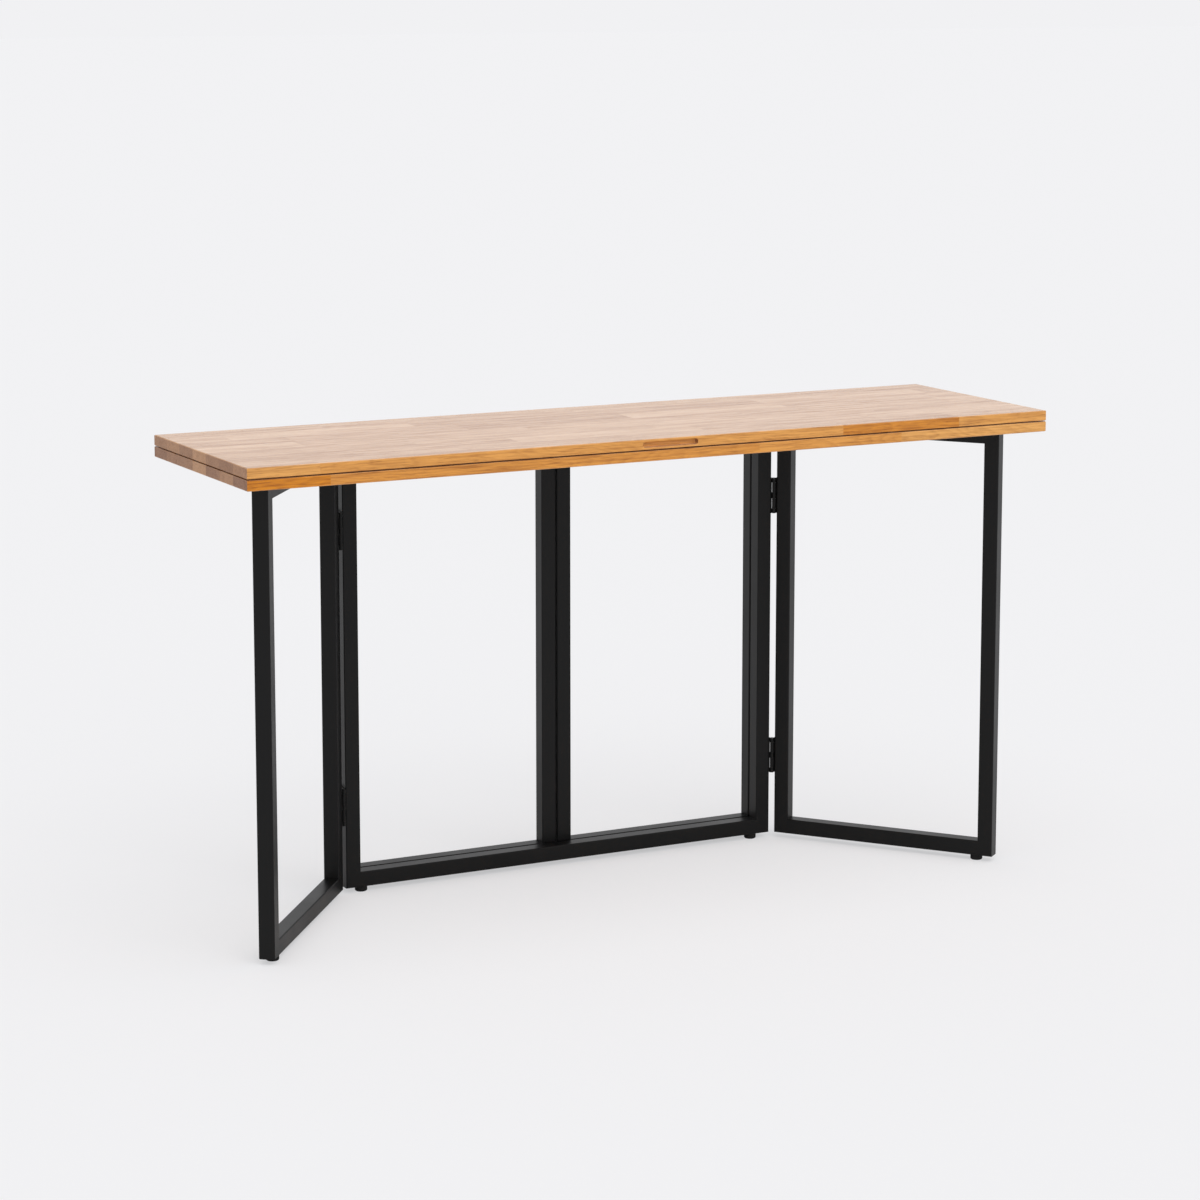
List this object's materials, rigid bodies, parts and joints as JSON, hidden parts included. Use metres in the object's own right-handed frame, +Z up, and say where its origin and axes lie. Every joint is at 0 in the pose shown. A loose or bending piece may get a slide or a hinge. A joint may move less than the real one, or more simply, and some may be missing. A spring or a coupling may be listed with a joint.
{
  "type": "folding console table",
  "caption": "Console table with a stacked flip-over wooden top on a black square-tube centre frame, with hinged front wings and rear gates that fold flat or swing out as legs.",
  "frame": {"origin": "on the floor under the middle of the table's box", "axes": "+X along the table, +Y to its back, +Z up"},
  "size_m": [1.38, 0.418, 0.76],
  "materials": {
    "wood": "satin oiled oak",
    "black_steel": "matt black powder coat",
    "zinc_steel": "zinc",
    "foot_plastic": "matt black",
    "bumper_rubber": "clear soft"
  },
  "bodies": {
    "base": {"centre_frame_bottom_rail": "black_steel", "centre_frame_left_post": "black_steel", "centre_frame_right_post": "black_steel", "centre_frame_top_rail": "black_steel", "flap_hinge_left_lower_plate": "zinc_steel", "flap_hinge_left_pin": "zinc_steel", "flap_hinge_middle_lower_plate": "zinc_steel", "flap_hinge_middle_pin": "zinc_steel", "flap_hinge_right_lower_plate": "zinc_steel", "flap_hinge_right_pin": "zinc_steel", "leaf_bumpers": "bumper_rubber", "left_gate_hinge_pins": "black_steel", "left_gate_lower_hinge_fixed_plate": "black_steel", "left_gate_upper_hinge_fixed_plate": "black_steel", "left_wing_hinge_pins": "black_steel", "left_wing_lower_hinge_fixed_plate": "black_steel", "left_wing_upper_hinge_fixed_plate": "black_steel", "lower_leaf": "wood", "right_gate_hinge_pins": "black_steel", "right_gate_lower_hinge_fixed_plate": "black_steel", "right_gate_upper_hinge_fixed_plate": "black_steel", "right_wing_hinge_pins": "black_steel", "right_wing_lower_hinge_fixed_plate": "black_steel", "right_wing_upper_hinge_fixed_plate": "black_steel", "top_fixing_screws": "zinc_steel"},
    "centre_left_leveller": {"centre_left_foot": "foot_plastic"},
    "centre_right_leveller": {"centre_right_foot": "foot_plastic"},
    "flip_leaf": {"flap_hinge_left_upper_plate": "zinc_steel", "flap_hinge_middle_upper_plate": "zinc_steel", "flap_hinge_right_upper_plate": "zinc_steel", "upper_leaf": "wood"},
    "left_gate": {"left_gate_bottom_rail": "black_steel", "left_gate_free_post": "black_steel", "left_gate_hinge_post": "black_steel", "left_gate_lower_hinge_moving_plate": "black_steel", "left_gate_top_rail": "black_steel", "left_gate_upper_hinge_moving_plate": "black_steel"},
    "left_gate_leveller": {"left_gate_foot": "foot_plastic"},
    "left_wing": {"left_wing_bottom_rail": "black_steel", "left_wing_hinge_post": "black_steel", "left_wing_lower_hinge_moving_plate": "black_steel", "left_wing_outer_post": "black_steel", "left_wing_top_rail": "black_steel", "left_wing_upper_hinge_moving_plate": "black_steel"},
    "left_wing_leveller": {"left_wing_foot": "foot_plastic"},
    "right_gate": {"right_gate_bottom_rail": "black_steel", "right_gate_free_post": "black_steel", "right_gate_hinge_post": "black_steel", "right_gate_lower_hinge_moving_plate": "black_steel", "right_gate_top_rail": "black_steel", "right_gate_upper_hinge_moving_plate": "black_steel"},
    "right_gate_leveller": {"right_gate_foot": "foot_plastic"},
    "right_wing": {"right_wing_bottom_rail": "black_steel", "right_wing_hinge_post": "black_steel", "right_wing_lower_hinge_moving_plate": "black_steel", "right_wing_outer_post": "black_steel", "right_wing_top_rail": "black_steel", "right_wing_upper_hinge_moving_plate": "black_steel"},
    "right_wing_leveller": {"right_wing_foot": "foot_plastic"}
  },
  "joints": [
    {"name": "leaf_flip", "type": "hinge", "parent": "base", "child": "flip_leaf", "pos_m": [0, 0.182, 0.743], "axis": [-1, 0, 0], "range_deg": [0, 180]},
    {"name": "left_wing_swing", "type": "hinge", "parent": "base", "child": "left_wing", "pos_m": [-0.394, 0.1545, 0.3675], "axis": [0, 0, 1], "range_deg": [0, 128]},
    {"name": "right_wing_swing", "type": "hinge", "parent": "base", "child": "right_wing", "pos_m": [0.394, 0.1545, 0.3675], "axis": [0, 0, -1], "range_deg": [0, 128]},
    {"name": "left_gate_swing", "type": "hinge", "parent": "base", "child": "left_gate", "pos_m": [-0.394, 0.1825, 0.3675], "axis": [0, 0, 1], "range_deg": [0, 128]},
    {"name": "right_gate_swing", "type": "hinge", "parent": "base", "child": "right_gate", "pos_m": [0.394, 0.1825, 0.3675], "axis": [0, 0, -1], "range_deg": [0, 128]},
    {"name": "centre_left_foot_turn", "type": "hinge", "parent": "base", "child": "centre_left_leveller", "pos_m": [-0.36, 0.1685, 0.009], "axis": [0, 0, 1], "continuous": true},
    {"name": "centre_right_foot_turn", "type": "hinge", "parent": "base", "child": "centre_right_leveller", "pos_m": [0.36, 0.1685, 0.009], "axis": [0, 0, 1], "continuous": true},
    {"name": "left_wing_foot_turn", "type": "hinge", "parent": "left_wing", "child": "left_wing_leveller", "pos_m": [-0.62821, -0.12254, 0.009], "axis": [0, 0, 1], "continuous": true},
    {"name": "right_wing_foot_turn", "type": "hinge", "parent": "right_wing", "child": "right_wing_leveller", "pos_m": [0.62821, -0.12254, 0.009], "axis": [0, 0, 1], "continuous": true},
    {"name": "left_gate_foot_turn", "type": "hinge", "parent": "left_gate", "child": "left_gate_leveller", "pos_m": [-0.0315, 0.1965, 0.009], "axis": [0, 0, 1], "continuous": true},
    {"name": "right_gate_foot_turn", "type": "hinge", "parent": "right_gate", "child": "right_gate_leveller", "pos_m": [0.0315, 0.1965, 0.009], "axis": [0, 0, 1], "continuous": true}
  ]
}
